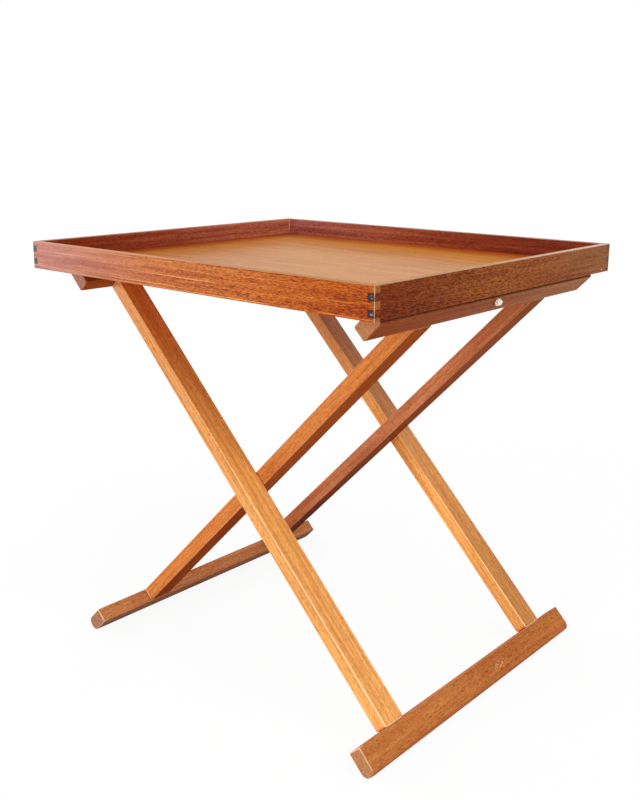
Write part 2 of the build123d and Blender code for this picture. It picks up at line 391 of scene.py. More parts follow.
class Finish(Shading):
    """One material in the making."""

    def __init__(self, name):
        self.material = bpy.data.materials.new(name)
        self.material.use_nodes = True
        super().__init__(self.material.node_tree)
        self.shader = self.tree.nodes["Principled BSDF"]
        self.coords = self.node("ShaderNodeTexCoord").outputs

    def product(self, first, *others):
        """Numbers multiplied together."""
        for other in others:
            first = self.math("MULTIPLY", first, other)
        return first

    def vector(self, operation, *values):
        """Vector worked out from vectors, or the number that a dot product or a length gives."""
        made = self.node("ShaderNodeVectorMath", dict(enumerate(values)), operation=operation)
        return made.outputs["Value" if operation in ("DOT_PRODUCT", "LENGTH") else "Vector"]

    def mapped(self, vector, kind="POINT", **places):
        """Vector moved, turned and scaled."""
        inputs = {"Vector": vector, **{key.capitalize(): value for key, value in places.items()}}
        return self.node("ShaderNodeMapping", inputs, vector_type=kind).outputs[0]

    def noise(self, vector, scale, detail=3.0, roughness=0.55):
        """Even noise from about 0 to 1."""
        inputs = {"Vector": vector, "Scale": scale, "Detail": detail, "Roughness": roughness}
        return self.node("ShaderNodeTexNoise", inputs).outputs["Fac"]

    def between(self, value, low, high, to_low=0.0, to_high=1.0):
        """Smooth step of a number from low to high."""
        inputs = {"Value": value, "From Min": low, "From Max": high, "To Min": to_low, "To Max": to_high}
        return self.node("ShaderNodeMapRange", inputs, interpolation_type="SMOOTHSTEP").outputs[0]

    def mix(self, share, first, second, blend="MIX"):
        """Colour between two colours."""
        made = self.node("ShaderNodeMix", data_type="RGBA", blend_type=blend, clamp_factor=True)
        for key, value in zip((0, 6, 7), (share, first, second)):
            self.join((*value, 1) if isinstance(value, tuple) else value, made.inputs[key])
        return made.outputs[2]

    def bump(self, height, strength, distance):
        """Normal that follows a height."""
        inputs = {"Height": height, "Strength": strength, "Distance": distance}
        self.join(self.node("ShaderNodeBump", inputs).outputs[0], self.shader.inputs["Normal"])


class Grain(NamedTuple):
    """How strongly each layer of the grain shows, and how far the grain wanders across the wood."""

    rings: float
    streaks: float
    flecks: float
    mottle: float
    patches: float
    pores: float
    wander: float


class Layer(NamedTuple):
    """Noise of one layer of the finish.

    It is drawn out along the grain by stretch, or left even where stretch is 0. Across the grain it has
    about scale features in a metre. The noise values low and high become 0 and 1.
    """

    stretch: float
    scale: float
    detail: float
    low: float
    high: float
    roughness: float = 0.55


class Mark(NamedTuple):
    """Small mark on the wood: its place in the row frame, its half sizes along the grain's axes, and its
    colour.

    A broken one shows in scattered scratches.
    """

    place: tuple
    half: tuple
    shade: tuple
    cover: float
    broken: bool = False


class FaceLight(NamedTuple):
    """Painted light and shade: a gain on the colour of one face, growing from start to stop along the
    grain.

    Both are shares of half the length from the middle. Left out, the gain is the same all along.
    """

    gain: tuple
    start: float = -2
    stop: float = -1.5


# Grains of the front board, the right board, the other boards, the panel, the legs and the rails
BOARD_GRAIN = Grain(rings=0.2, streaks=0.8, flecks=1.5, mottle=0.1, patches=0.2, pores=0.9, wander=0.008)
SIDE_GRAIN = Grain(rings=0.3, streaks=0.6, flecks=2.0, mottle=0.1, patches=0.3, pores=1.0, wander=0.01)
WALL_GRAIN = Grain(rings=0.3, streaks=0.8, flecks=0.9, mottle=0.15, patches=0.4, pores=0.6, wander=0.01)
PANEL_GRAIN = Grain(rings=0.05, streaks=0.5, flecks=0.3, mottle=0.1, patches=0.2, pores=0.3, wander=0.006)
LEG_GRAIN = Grain(rings=0.08, streaks=0.5, flecks=0.3, mottle=0.08, patches=0.15, pores=0.6, wander=0.004)
BAR_GRAIN = Grain(rings=0.1, streaks=0.4, flecks=0.5, mottle=0.1, patches=0.2, pores=0.8, wander=0.006)

# Layers that follow the grain
STREAKS = Layer(33, 230.0, 3.0, 0.3, 0.7)
FLECKS = Layer(6, 1250.0, 2.0, 0.33, 0.67, 0.6)
MOTTLE = Layer(2.2, 120.0, 2.0, 0.33, 0.67)
PATCHES = Layer(3.5, 15.0, 2.0, 0.3, 0.7)
PORES = Layer(11, 1400.0, 1.0, 0.54, 0.7)
LINES = Layer(300, 560.0, 1.0, 0.6, 0.68)
LINE_PLACES = Layer(3, 30.0, 1.0, 0.42, 0.58)

# Even layers, on the cut ends, the edges, the tray's near corner and the broken marks
SPECKLE = Layer(0, 420.0, 2.0, 0.35, 0.7)
EDGE_PALING = Layer(0, 45.0, 3.0, 0.25, 0.65)
CORNER_BREAKS = Layer(0, 260.0, 2.0, 0.35, 0.6)
SCRATCHES = Layer(0, 420.0, 1.0, 0.52, 0.6)

# Sway that moves the whole grain aside
SWAY_STRETCH = 8
SWAY = {"Scale": 18.0, "Detail": 2.0}

# Rings: how far aside their middle is, with a step for each seed, their stretch and the look of the wave
HEART = (0.07, 0.045)
HEART_STEP = 0.01
HEART_STRETCH = 50
RINGS = {"Scale": 55.0, "Distortion": 2.0, "Detail": 2.0, "Detail Scale": 1.5}

# Step between the noises of two pieces of wood
SEED_STEPS = (0.37, 0.61, 0.83)

# Share of the flecks that is left where the grain is calm
CALM = 0.3

# Roughness that streaks, cut ends and pores add, and how pores and flecks stand in the surface
STREAK_ROUGHNESS = 0.15
END_ROUGHNESS = 0.18
PORE_ROUGHNESS = 0.15
PORE_HEIGHT = -0.6
FLECK_HEIGHT = 0.4

# Cosines between which a face counts as a cut end, or as the sloping side, and shades of the cut ends
END_FACING = (0.8, 0.95)
SIDE_FACING = (0.5, 0.9)
END_TONES = (0.7, 0.4)

# Top of a board: how deep its colour goes, and where along the board that colour changes
RIM_DEPTH = (0.0002, 0.0008)
RIM_CHANGE = (-0.5, 0.8)

# Strength of the pale edges, partly rubbing of the wood and partly painted highlight, at the start and the
# end of its span
NO_PALE_EDGES = (0, 0)
RAIL_PALE_EDGES = (0.15, 0.15)
BAR_PALE_EDGES = (0.75, 0.1)

# Part of a foot rail where its edges go from pale to plain, in shares of half its length from the middle
BAR_PALE_SPAN = (-0.985, -0.96)

# Painted light and shade of the faces that slope: gains that make each face lighter or darker where more
# or less light falls on it
OUTER_FRONT_FACE_LIGHT = (FaceLight((1.2, 1.2, 1.0), -0.9, 0.2), FaceLight((1.0, 0.62, 0.5), 0.0, 1.15))
OUTER_BACK_FACE_LIGHT = (FaceLight((0.7, 0.68, 0.7), 1.0, -1.0), FaceLight((1.0, 0.96, 0.76), -0.2, 0.4))
OUTER_RAIL_FACE_LIGHT = (FaceLight((1.33, 1.38, 1.15)),)
INNER_FRONT_FACE_LIGHT = (FaceLight((0.74, 0.54, 0.45)), FaceLight((0.87, 0.8, 0.68), 0.15, -0.2))
INNER_BACK_FACE_LIGHT = (
    FaceLight((0.7, 0.58, 0.47)),
    FaceLight((0.93, 0.76, 0.62), 0.8, 0.3),
    FaceLight((0.7, 0.52, 0.48), 0.2, -0.8),
)
INNER_FOOT_FACE_LIGHT = (FaceLight((0.67, 0.75, 0.95)),)

# Painted shadow on the right rail under the board above it: the heights between which it sets in, and its
# colour
GAP_SHADOW_HEIGHTS = (UNDER_TRAY - 0.0068, UNDER_TRAY - 0.0056)
GAP_SHADOW_COLOUR = (0.13, 0.03, 0.011)

# Small marks on the wood, and where the soft edge of each starts and ends, in its half sizes
MARK_EDGE = (0.6, 1.25)
PALE_DOT = Mark((0.3, 0.23665, 0.54342), (0.0013, 0.0013, 0.0013), (0.9, 0.8, 0.65), 1.0)
FINGER_SPECKS = tuple(
    Mark((0.2962, -0.257, height), (0.0024, 0.0028, 0.002), (0.45, 0.42, 0.48), 0.6, True)
    for height in (0.5645, 0.5478)
)
CORNER_PALE_LINE = Mark((-0.2903, 0.2475, 0.566), (0.016, 0.0025, 0.002), (0.75, 0.42, 0.28), 0.9)
PANEL_SCRATCH = Mark((0.1255, 0.147, 0.552), (0.002, 0.0016, 0.012), (0.16, 0.045, 0.01), 0.55)
FOOT_SCRATCHES = Mark((0.281, 0.0545, 0.0233), (0.011, 0.006, 0.026), (0.8, 0.48, 0.22), 0.65, True)
LEG_LINE = Mark((-0.2212, -0.1449, 0.0304), (0.012, 0.003, 0.0018), (1.0, 0.78, 0.64), 0.85)
LEG_SCUFFS = (
    Mark((0.0825, 0.0649, 0.3623), (0.0016, 0.0016, 0.003), (0.75, 0.48, 0.3), 0.6),
    Mark((0.0944, 0.0649, 0.379), (0.0014, 0.0014, 0.0025), (0.75, 0.48, 0.3), 0.6),
)

# Early wood, late wood and pores as multiples of the colour, and the colour of thin lines
LIGHTER = np.array((1.24, 1.42, 1.55))
DARKER = np.array((0.74, 0.56, 0.45))
PORE_SHADE = (0.4, 0.28, 0.22)
LINE_SHADE = (0.85, 0.42, 0.12)


def edge_distance(finish, place, half):
    """Distance to the nearest edge of a box: the second smallest of the distances to its three faces."""
    apart = finish.vector("SUBTRACT", tuple(half), finish.vector("ABSOLUTE", place))
    a, b, c = finish.node("ShaderNodeSeparateXYZ", {0: apart}).outputs
    low, high = finish.math("MINIMUM", a, b), finish.math("MAXIMUM", a, b)
    return finish.math("MAXIMUM", low, finish.math("MINIMUM", high, c))


class Wood:
    """Wood finish of one CAD node.

    Growth rings, long streaks, short flecks and wide patches add up to a tone that makes the mean colour
    lighter or darker. Pores darken it, cut ends turn to the end colour, edges turn pale, partly as rubbing
    of the wood and partly as painted highlight, and marks come on top.
    """

    def __init__(self, node, turn, seed, grain, first, last=None, change=(-1, 1)):
        self.node = node
        self.turn = turn
        self.grain = grain
        self.finish = finish = Finish(f"{node}_wood")
        self.centre, self.half = grain_box(node, turn)
        self.place = self.placed(tuple(self.centre))
        self.offset = tuple(step * seed for step in SEED_STEPS)
        self.along = finish.node("ShaderNodeSeparateXYZ", {0: self.place}).outputs[2]
        self.base = finish.mix(self.reaching(*change), tuple(first), tuple(last or first))
        self.calm = 1.0
        self.draw_layers(seed)

    def placed(self, centre, scale=(1, 1, 1)):
        """Place on the wood along the grain's own axes, from a centre and in units of a scale."""
        whole = self.finish.coords["Object"]
        return self.finish.mapped(whole, "TEXTURE", location=centre, rotation=self.turn, scale=scale)

    def stretched(self, vector, stretch):
        """Vector for a noise that is drawn out along the grain."""
        return self.finish.mapped(vector, location=self.offset, scale=(1, 1, 1 / stretch))

    def drawn(self, layer, vector=None, low=0.0):
        """Number from low to 1 that a layer's noise gives at a vector, or at the place on the wood."""
        vector = self.place if vector is None else vector
        where = self.stretched(vector, layer.stretch) if layer.stretch else vector
        noise = self.finish.noise(where, layer.scale, layer.detail, layer.roughness)
        return self.finish.between(noise, layer.low, layer.high, low)

    def draw_layers(self, seed):
        """Noises of the grain: each is stretched along the wood, and all wander across it together."""
        finish = self.finish
        where = self.stretched(self.place, SWAY_STRETCH)
        wide = finish.node("ShaderNodeTexNoise", {"Vector": where, **SWAY})
        sway = finish.vector("SUBTRACT", wide.outputs["Color"], (0.5, 0.5, 0.5))
        swayed = finish.vector("MULTIPLY_ADD", sway, (self.grain.wander,) * 3, self.place)
        away = (HEART[0] + HEART_STEP * seed, HEART[1], 0)
        heart = finish.mapped(swayed, location=away, scale=(1, 1, 1 / HEART_STRETCH))
        wave = finish.node("ShaderNodeTexWave", {"Vector": heart, **RINGS}, wave_type="RINGS",
                           rings_direction="Z", wave_profile="SAW")
        self.rings = wave.outputs["Fac"]
        self.streaks = self.drawn(STREAKS, swayed)
        self.flecks = self.drawn(FLECKS, swayed)
        self.mottle = self.drawn(MOTTLE, swayed)
        self.patches = self.drawn(PATCHES)
        self.pore = self.drawn(PORES, swayed)

    def reaching(self, start, stop, low=0.0, high=1.0):
        """Number that goes from low to high along the grain, from start to stop.

        Both are shares of half the length from the middle.
        """
        return self.finish.between(self.along, start * self.half[2], stop * self.half[2], low, high)

    def turn_to(self, shade, start, stop):
        """Changes the colour to a shade along the grain, from start to stop."""
        self.base = self.finish.mix(self.reaching(start, stop), self.base, tuple(shade))

    def settle(self, start, stop):
        """Fades the flecks out from stop to start."""
        self.calm = self.reaching(start, stop, CALM)

    def rim(self, shade, width):
        """Turns the colour to a shade along the edges, as painted shade and painted reflection of the
        boards round the panel.
        """
        apart = edge_distance(self.finish, self.place, self.half)
        near = self.finish.between(apart, 0.0, width, 1.0, 0.0)
        self.base = self.finish.mix(near, self.base, tuple(shade))

    def paint_face_light(self, side, shades):
        """Painted light and shade: multiplies the colour of the face on one side by the gain of each
        entry.
        """
        finish = self.finish
        facing = finish.between(finish.vector("DOT_PRODUCT", finish.coords["Normal"], side), *SIDE_FACING)
        for shade in shades:
            share = finish.product(facing, self.reaching(shade.start, shade.stop))
            self.base = finish.mix(share, self.base, shade.gain, "MULTIPLY")

    def paint_gap_shadow(self, low, high, shade):
        """Painted shadow: a dark line between two heights, where the board above shades the rail."""
        finish = self.finish
        height = finish.node("ShaderNodeSeparateXYZ", {0: finish.coords["Object"]}).outputs[2]
        self.base = finish.mix(finish.between(height, low, high), self.base, shade)

    def finished(self, end, worn_and_highlit, wear_and_highlight=(0.3, 0.3), span=(-0.7, 0.7), pale_width=0.0016, rim=None, coat=0.1,
                 coat_roughness=0.25, gloss=0.45, lines=0.0, marks=()):
        """Joins the layers into the node's material."""
        finish, grain = self.finish, self.grain
        flecks = finish.product(grain.flecks, self.calm)
        tone = 0.5
        layers = ((grain.rings, self.rings), (grain.streaks, self.streaks), (flecks, self.flecks),
                  (grain.mottle, self.mottle), (grain.patches, self.patches))
        for share, layer in layers:
            tone = finish.math("MULTIPLY_ADD", finish.math("SUBTRACT", layer, 0.5), share, tone)
        gain = finish.vector("MULTIPLY_ADD", tone, tuple(LIGHTER - DARKER), tuple(DARKER))
        shade = finish.vector("MULTIPLY", self.base, gain)
        pores = finish.product(self.pore, grain.pores, self.calm)
        shade = finish.mix(pores, shade, PORE_SHADE, "MULTIPLY")
        if lines:
            shade = self.lined(shade, lines)
        shade, cut = self.ended(shade, tone, tuple(end))
        if rim:
            shade = self.rimmed(shade, tuple(worn_and_highlit), pale_width, *map(tuple, rim))
        else:
            shade = self.rubbed_and_highlit(shade, tuple(worn_and_highlit), pale_width, self.reaching(*span, *wear_and_highlight))
        for mark in marks:
            shade = self.marked(shade, mark)
        shader = finish.shader.inputs
        finish.join(shade, shader["Base Color"])
        shader["Specular IOR Level"].default_value = 0.0
        shader["Coat Weight"].default_value = coat
        shader["Coat Roughness"].default_value = coat_roughness
        rough = finish.math("MULTIPLY_ADD", self.streaks, STREAK_ROUGHNESS, gloss)
        rough = finish.math("MULTIPLY_ADD", cut, END_ROUGHNESS, rough)
        rough = finish.math("MULTIPLY_ADD", self.pore, PORE_ROUGHNESS, rough)
        finish.join(rough, shader["Roughness"])
        raised = finish.math("MULTIPLY", self.flecks, FLECK_HEIGHT)
        height = finish.math("MULTIPLY_ADD", self.pore, PORE_HEIGHT, raised)
        finish.bump(height, strength=0.25, distance=0.0004)
        dress(self.node, finish.material)

    def lined(self, shade, strength):
        """Thin yellowish lines along the grain that come and go."""
        share = self.finish.product(self.drawn(LINES), self.drawn(LINE_PLACES), strength)
        return self.finish.mix(share, shade, LINE_SHADE)

    def ended(self, shade, tone, end):
        """End grain on the faces that look along the grain, and the share of it."""
        finish = self.finish
        along = tuple(np.array(Euler(self.turn).to_matrix()) @ (0, 0, 1))
        facing = finish.math("ABSOLUTE", finish.vector("DOT_PRODUCT", finish.coords["Normal"], along))
        cut = finish.between(facing, *END_FACING)
        darker, darkest = (tuple(part * value for value in end) for part in END_TONES)
        wood = finish.mix(tone, darker, end)
        speckled = finish.mix(finish.product(self.drawn(SPECKLE), 0.5), wood, darkest)
        return finish.mix(cut, shade, speckled), cut

    def rubbed_and_highlit(self, shade, worn_and_highlit, pale_width, wear_and_highlight):
        """Edges turned pale by rubbing and painted highlight, as strongly as told, in places more and in
        places less.
        """
        finish = self.finish
        near = finish.between(edge_distance(finish, self.place, self.half), 0.25 * pale_width, pale_width, 1.0, 0.0)
        much = self.drawn(EDGE_PALING, low=0.5)
        return finish.mix(finish.product(near, much, wear_and_highlight), shade, worn_and_highlit)

    def rimmed(self, shade, worn_and_highlit, pale_width, low, high):
        """Board top in colours from low to high and the tray's near corner pale, partly rubbing, partly
        painted highlight.
        """
        finish = self.finish
        apart = finish.vector("SUBTRACT", finish.coords["Object"], TRAY_CORNER)
        x, y, z = finish.node("ShaderNodeSeparateXYZ", {0: finish.vector("ABSOLUTE", apart)}).outputs
        top = finish.between(z, *RIM_DEPTH, 1.0, 0.0)
        shade = finish.mix(top, shade, finish.mix(self.reaching(*RIM_CHANGE), low, high))
        corner = finish.between(finish.math("MAXIMUM", x, y), 0.4 * pale_width, pale_width, 0.85, 0.0)
        much = self.drawn(CORNER_BREAKS, low=0.35)
        return finish.mix(finish.product(corner, much), shade, worn_and_highlit)

    def marked(self, shade, mark):
        """One mark: an ellipsoid with a soft edge round the mark's place."""
        finish = self.finish
        apart = finish.vector("LENGTH", self.placed(mark.place, mark.half))
        ragged = finish.math("MULTIPLY_ADD", self.flecks, 0.5, apart)
        share = finish.between(ragged, *MARK_EDGE, mark.cover, 0.0)
        if mark.broken:
            share = finish.product(share, self.drawn(SCRATCHES))
        return finish.mix(share, shade, mark.shade)


def steel(node, base):
    """Plain turned steel with fine rings round the pivot axis."""
    finish = Finish(f"{node}_steel")
    centre, _ = grain_box(node, ALONG_Y)
    place = finish.mapped(finish.coords["Object"], "TEXTURE", location=tuple(centre), rotation=ALONG_Y)
    lines = finish.noise(finish.mapped(place, scale=(1, 1, 30)), 240.0)
    shade = finish.mix(lines, tuple(0.7 * value for value in base), tuple(base))
    finish.join(shade, finish.shader.inputs["Base Color"])
    finish.shader.inputs["Metallic"].default_value = 1.0
    finish.join(finish.math("MULTIPLY_ADD", lines, 0.3, 0.2), finish.shader.inputs["Roughness"])
    finish.bump(lines, strength=0.1, distance=0.0001)
    dress(node, finish.material)


def braid(base):
    """White braided nylon: two sets of four strands that cross, on the cord's own UV map."""
    finish = Finish("cord_braid")
    turn, along, _ = finish.node("ShaderNodeSeparateXYZ", {0: finish.coords["UV"]}).outputs
    sets = []
    for way in (1, -1):
        around = finish.math("MULTIPLY", turn, 4 * math.pi)
        phase = finish.math("MULTIPLY_ADD", along, way * math.pi / BRAID_PITCH, around)
        sets.append(finish.math("ABSOLUTE", finish.math("COSINE", phase)))
    weave = finish.math("MULTIPLY", *sets)
    hairs = finish.noise(finish.mapped(finish.coords["UV"], scale=(60, 6, 1)), 1.0)
    height = finish.math("MULTIPLY_ADD", hairs, 0.35, weave)
    low = tuple(0.9 * value for value in base)
    shade = finish.mix(finish.between(height, 0.1, 0.6), low, tuple(base))
    finish.join(shade, finish.shader.inputs["Base Color"])
    finish.join(finish.math("MULTIPLY_ADD", hairs, 0.25, 0.55), finish.shader.inputs["Roughness"])
    finish.shader.inputs["Sheen Weight"].default_value = 0.3
    finish.bump(height, strength=0.4, distance=0.0003)
    return finish.material


def dress(node, material):
    """Puts a finish on a CAD node in place of its plain one."""
    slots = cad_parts[node].material_slots
    if not slots:
        raise RuntimeError(f"{node} has no material slot")
    for slot in slots:
        slot.material = material


# Cord

# Route from knot to knot: through the inner rail, straight across under the tray, through the outer rail
CORD_ROUTE = [
    (0.28418, 0.0, 0.52513),
    (0.26709, 0.0, 0.54199),
    (0.24600, 0.0, 0.54199),
    (-0.20800, 0.0, 0.54199),
    (-0.22909, 0.0, 0.54199),
    (-0.24618, 0.0, 0.52513),
]

# Knot: the part of the trefoil that is drawn, its depth along the hole in loop sizes, and its points
KNOT_SPAN = (0.35, 2 * math.pi + 0.1)
KNOT_DEPTH = 1.7
KNOT_POINTS = 90

# Tail: how much of the knot's own direction it loses, how far it turns aside and outwards, and its points
TAIL_LOSS = 0.6
TAIL_ASIDE = 0.9
TAIL_OUT = 0.3
TAIL_POINTS = 20

# Facets round the cord in a knot
KNOT_SIDES = 16


def knot_path(centre, out, loop, tail):
    """Tight overhand knot: a trefoil line (sin t + 2 sin 2t, cos t - 2 cos 2t, -sin 3t) with a tail.

    The first two go across the hole's axis and the third along it. The tail leaves along the knot's line
    and turns to +Y and out of the hole, as tail (leave (s - k s^2) + turn s^2).
    """
    side = np.array([0.0, 1.0, 0.0])
    down = np.cross(side, out)
    t = np.linspace(*KNOT_SPAN, KNOT_POINTS)[:, None]
    flat = loop * ((np.sin(t) + 2 * np.sin(2 * t)) * down - (np.cos(t) - 2 * np.cos(2 * t)) * side)
    line = centre + flat - KNOT_DEPTH * loop * np.sin(3 * t) * out
    leave = unit(line[-1] - line[-2])
    s = np.linspace(0, 1, TAIL_POINTS)[1:, None]
    bend = leave * (s - TAIL_LOSS * s**2) + (TAIL_ASIDE * side + TAIL_OUT * out) * s**2
    return np.concatenate([line, line[-1] + tail * bend])


class TRAYTABLE_OT_cord(bpy.types.Operator):
    """Braided cord between the top rails, with a knot in the outer face of each"""

    bl_idname = "tray_table.cord"
    bl_label = "Spread cord"

    def execute(self, context):
        sizes = context.scene.tray_table.cord
        material = braid(sizes.colour)
        ends = (("inner", CORD_ROUTE[0], CORD_ROUTE[1]), ("outer", CORD_ROUTE[-1], CORD_ROUTE[-2]))
        for name, tip, inside in ends:
            out = unit(np.subtract(tip, inside))
            centre = tip + sizes.lift * np.cross(out, (0, 1, 0)) - (0, sizes.aside, 0)
            path = knot_path(centre, out, sizes.loop, sizes.tail)
            knot = braided_tube(f"{name}_cord_knot", path, sizes.strand, out, KNOT_SIDES)
            knot.data.materials.append(material)
            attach(knot, f"{name}_frame")
        points = spline_points(CORD_ROUTE)
        cord = braided_tube("spread_cord_braid", points, sizes.diameter, (0, 1, 0))
        cord.data.materials.append(material)
        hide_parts("spread_cord")
        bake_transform(cord)
        return {"FINISHED"}


# Tray and stand

class TRAYTABLE_OT_tray_boards(bpy.types.Operator):
    """Oiled wood of the four boards, with dark and golden end grain in the finger joints"""

    bl_idname = "tray_table.tray_boards"
    bl_label = "Tray boards"

    def execute(self, context):
        tray = context.scene.tray_table.tray
        oiled = {"worn_and_highlit": tray.worn_and_highlit, "pale_width": 0.0007, "coat": 0.22, "coat_roughness": 0.38}
        behind = (tray.rim_behind, tray.rim_behind)
        shades = (tray.front_left, tray.front_middle, (-0.9, 0))
        front = Wood("tray_front_board", ALONG_X, 1, BOARD_GRAIN, *shades)
        front.turn_to(tray.front_right, 0, 1)
        front.settle(-0.7, 0.5)
        front.finished(tray.front_ends, rim=(tray.rim_left, tray.rim_right), lines=0.6, **oiled)
        shades = (tray.right_near, tray.right_middle, (-1, 0))
        right = Wood("tray_right_board", ALONG_Y, 3, SIDE_GRAIN, *shades)
        right.turn_to(tray.right_far, 0, 1)
        right.settle(1.2, -0.6)
        marks = (PALE_DOT, *FINGER_SPECKS)
        right.finished(tray.side_ends, rim=(tray.rim_near, tray.rim_far), marks=marks, **oiled)
        shades = (tray.back_left, tray.back_middle, (-1, 0))
        back = Wood("tray_back_board", ALONG_X, 2, WALL_GRAIN, *shades)
        back.turn_to(tray.back_right, -0.4, 0.5)
        back.finished(tray.back_ends, rim=behind, marks=(CORNER_PALE_LINE,), **oiled)
        shades = (tray.left_near, tray.left_far, (-0.9, 1.1))
        left = Wood("tray_left_board", ALONG_Y, 4, WALL_GRAIN, *shades)
        left.finished(tray.side_ends, rim=behind, **oiled)
        return {"FINISHED"}


class TRAYTABLE_OT_tray_panel(bpy.types.Operator):
    """Smooth varnished veneer of the bottom panel"""

    bl_idname = "tray_table.tray_panel"
    bl_label = "Tray panel"

    def execute(self, context):
        tray = context.scene.tray_table.tray
        panel = Wood("tray_bottom_panel", ALONG_X, 5, PANEL_GRAIN, tray.panel)
        # Painted shade and painted reflection of the boards along the panel's edges, and painted shadow of
        # the left board
        panel.rim(tray.panel_edge_shade, tray.panel_edge_shade_width)
        panel.turn_to(tray.panel_left_shadow, -0.86, -1.02)
        varnish = {"coat": 0.44, "coat_roughness": 0.2, "gloss": 0.3}
        panel.finished(tray.panel, tray.worn_and_highlit, NO_PALE_EDGES, marks=(PANEL_SCRATCH,), **varnish)
        return {"FINISHED"}


class TRAYTABLE_OT_outer_frame(bpy.types.Operator):
    """Golden wood of the outer legs, and the brown wood of their rail and foot"""

    bl_idname = "tray_table.outer_frame"
    bl_label = "Outer frame"

    def execute(self, context):
        stand = context.scene.tray_table.stand
        upper_side = (math.cos(OUTER_LEAN), 0, -math.sin(OUTER_LEAN))
        under_side = (-math.sin(OUTER_LEAN), 0, -math.cos(OUTER_LEAN))
        shades = (stand.outer_front_foot, stand.outer_front_top)
        front = Wood("outer_front_leg", OUTER_LEG, 6, LEG_GRAIN, *shades)
        front.paint_face_light(upper_side, OUTER_FRONT_FACE_LIGHT)
        front.finished(stand.bar_ends, stand.worn_and_highlit, wear_and_highlight=(1, 0.1), pale_width=0.0014, coat=0.2)
        shades = (stand.outer_back_foot, stand.outer_back_middle, (-1, -0.3))
        back = Wood("outer_back_leg", OUTER_LEG, 7, LEG_GRAIN, *shades)
        back.turn_to(stand.outer_back_top, -0.3, 0.7)
        back.paint_face_light(upper_side, OUTER_BACK_FACE_LIGHT)
        back.finished(stand.bar_ends, stand.worn_and_highlit, wear_and_highlight=(0.9, 0.1), pale_width=0.0014, coat=0.2)
        rail = Wood("outer_top_rail", OUTER_BAR, 8, BAR_GRAIN, stand.rail_near, stand.rail_far)
        rail.paint_face_light(under_side, OUTER_RAIL_FACE_LIGHT)
        rail.finished(stand.outer_rail_ends, stand.worn_and_highlit, wear_and_highlight=RAIL_PALE_EDGES, coat=0.1)
        bar = Wood("outer_foot_rail", OUTER_BAR, 9, BAR_GRAIN, stand.outer_bar)
        bar.finished(stand.bar_ends, stand.worn_and_highlit, BAR_PALE_EDGES, BAR_PALE_SPAN, coat=0.1, marks=(FOOT_SCRATCHES,))
        for seed, node in ((10, "outer_top_dowels"), (11, "outer_foot_dowels")):
            dowels = Wood(node, OUTER_LEG, seed, LEG_GRAIN, stand.dowel)
            dowels.finished(stand.dowel, stand.worn_and_highlit, NO_PALE_EDGES)
        return {"FINISHED"}


class TRAYTABLE_OT_inner_frame(bpy.types.Operator):
    """Reddish wood of the inner legs, and the brown wood of their rail and foot"""

    bl_idname = "tray_table.inner_frame"
    bl_label = "Inner frame"

    def execute(self, context):
        stand = context.scene.tray_table.stand
        under_side = (math.cos(INNER_LEAN), 0, -math.sin(INNER_LEAN))
        shades = (stand.inner_front_foot, stand.inner_front_top)
        front = Wood("inner_front_leg", INNER_LEG, 12, LEG_GRAIN, *shades)
        front.paint_face_light(under_side, INNER_FRONT_FACE_LIGHT)
        legs = {"worn_and_highlit": stand.worn_and_highlit, "wear_and_highlight": (0.3, 0.2), "pale_width": 0.0012}
        front.finished(stand.bar_ends, coat=0.02, marks=(LEG_LINE,), **legs)
        shades = (stand.inner_back_foot, stand.inner_back_top, (-0.75, -0.35))
        back = Wood("inner_back_leg", INNER_LEG, 13, LEG_GRAIN, *shades)
        back.paint_face_light(under_side, INNER_BACK_FACE_LIGHT)
        back.finished(stand.bar_ends, coat=0.04, marks=LEG_SCUFFS, **legs)
        rail = Wood("inner_top_rail", INNER_BAR, 14, BAR_GRAIN, stand.rail_near, stand.rail_far)
        rail.paint_gap_shadow(*GAP_SHADOW_HEIGHTS, GAP_SHADOW_COLOUR)
        rail.finished(stand.inner_rail_ends, stand.worn_and_highlit, wear_and_highlight=RAIL_PALE_EDGES, coat=0.1)
        bar = Wood("inner_foot_rail", INNER_BAR, 15, BAR_GRAIN, stand.inner_bar)
        bar.paint_face_light(under_side, INNER_FOOT_FACE_LIGHT)
        bar.finished(stand.inner_bar_ends, stand.worn_and_highlit, BAR_PALE_EDGES, BAR_PALE_SPAN, coat=0.08)
        for seed, node in ((16, "inner_top_dowels"), (17, "inner_foot_dowels")):
            dowels = Wood(node, INNER_LEG, seed, LEG_GRAIN, stand.dowel)
            dowels.finished(stand.dowel, stand.worn_and_highlit, NO_PALE_EDGES)
        return {"FINISHED"}


class TRAYTABLE_OT_pivots(bpy.types.Operator):
    """Steel of the pins and washers between the crossed legs"""

    bl_idname = "tray_table.pivots"
    bl_label = "Pivots"

    def execute(self, context):
        for place in ("front", "back"):
            for piece in ("pin", "washer"):
                steel(f"{place}_pivot_{piece}", context.scene.tray_table.stand.steel)
        return {"FINISHED"}


# Stage

class TRAYTABLE_OT_camera(bpy.types.Operator):
    """Camera at the height and side from which the table is seen"""

    bl_idname = "tray_table.camera"
    bl_label = "Camera"

    def execute(self, context):
        stage = context.scene.tray_table.stage
        data = bpy.data.cameras.new("camera")
        data.lens = stage.lens
        data.shift_x, data.shift_y = stage.shift
        camera = bpy.data.objects.new("camera", data)
        turn = Matrix.Rotation(stage.yaw, 4, "Z") @ Matrix.Rotation(QUARTER - stage.pitch, 4, "X")
        tilt = Matrix.Rotation(stage.roll, 4, "Z")
        camera.matrix_world = Matrix.Translation(stage.place) @ turn @ tilt
        bpy.context.scene.collection.objects.link(camera)
        bpy.context.scene.camera = camera
        return {"FINISHED"}


class Lamp(NamedTuple):
    """Soft rectangular light: its place, its width and height, and its tint."""

    place: tuple
    size: tuple
    tint: tuple = (1, 1, 1)


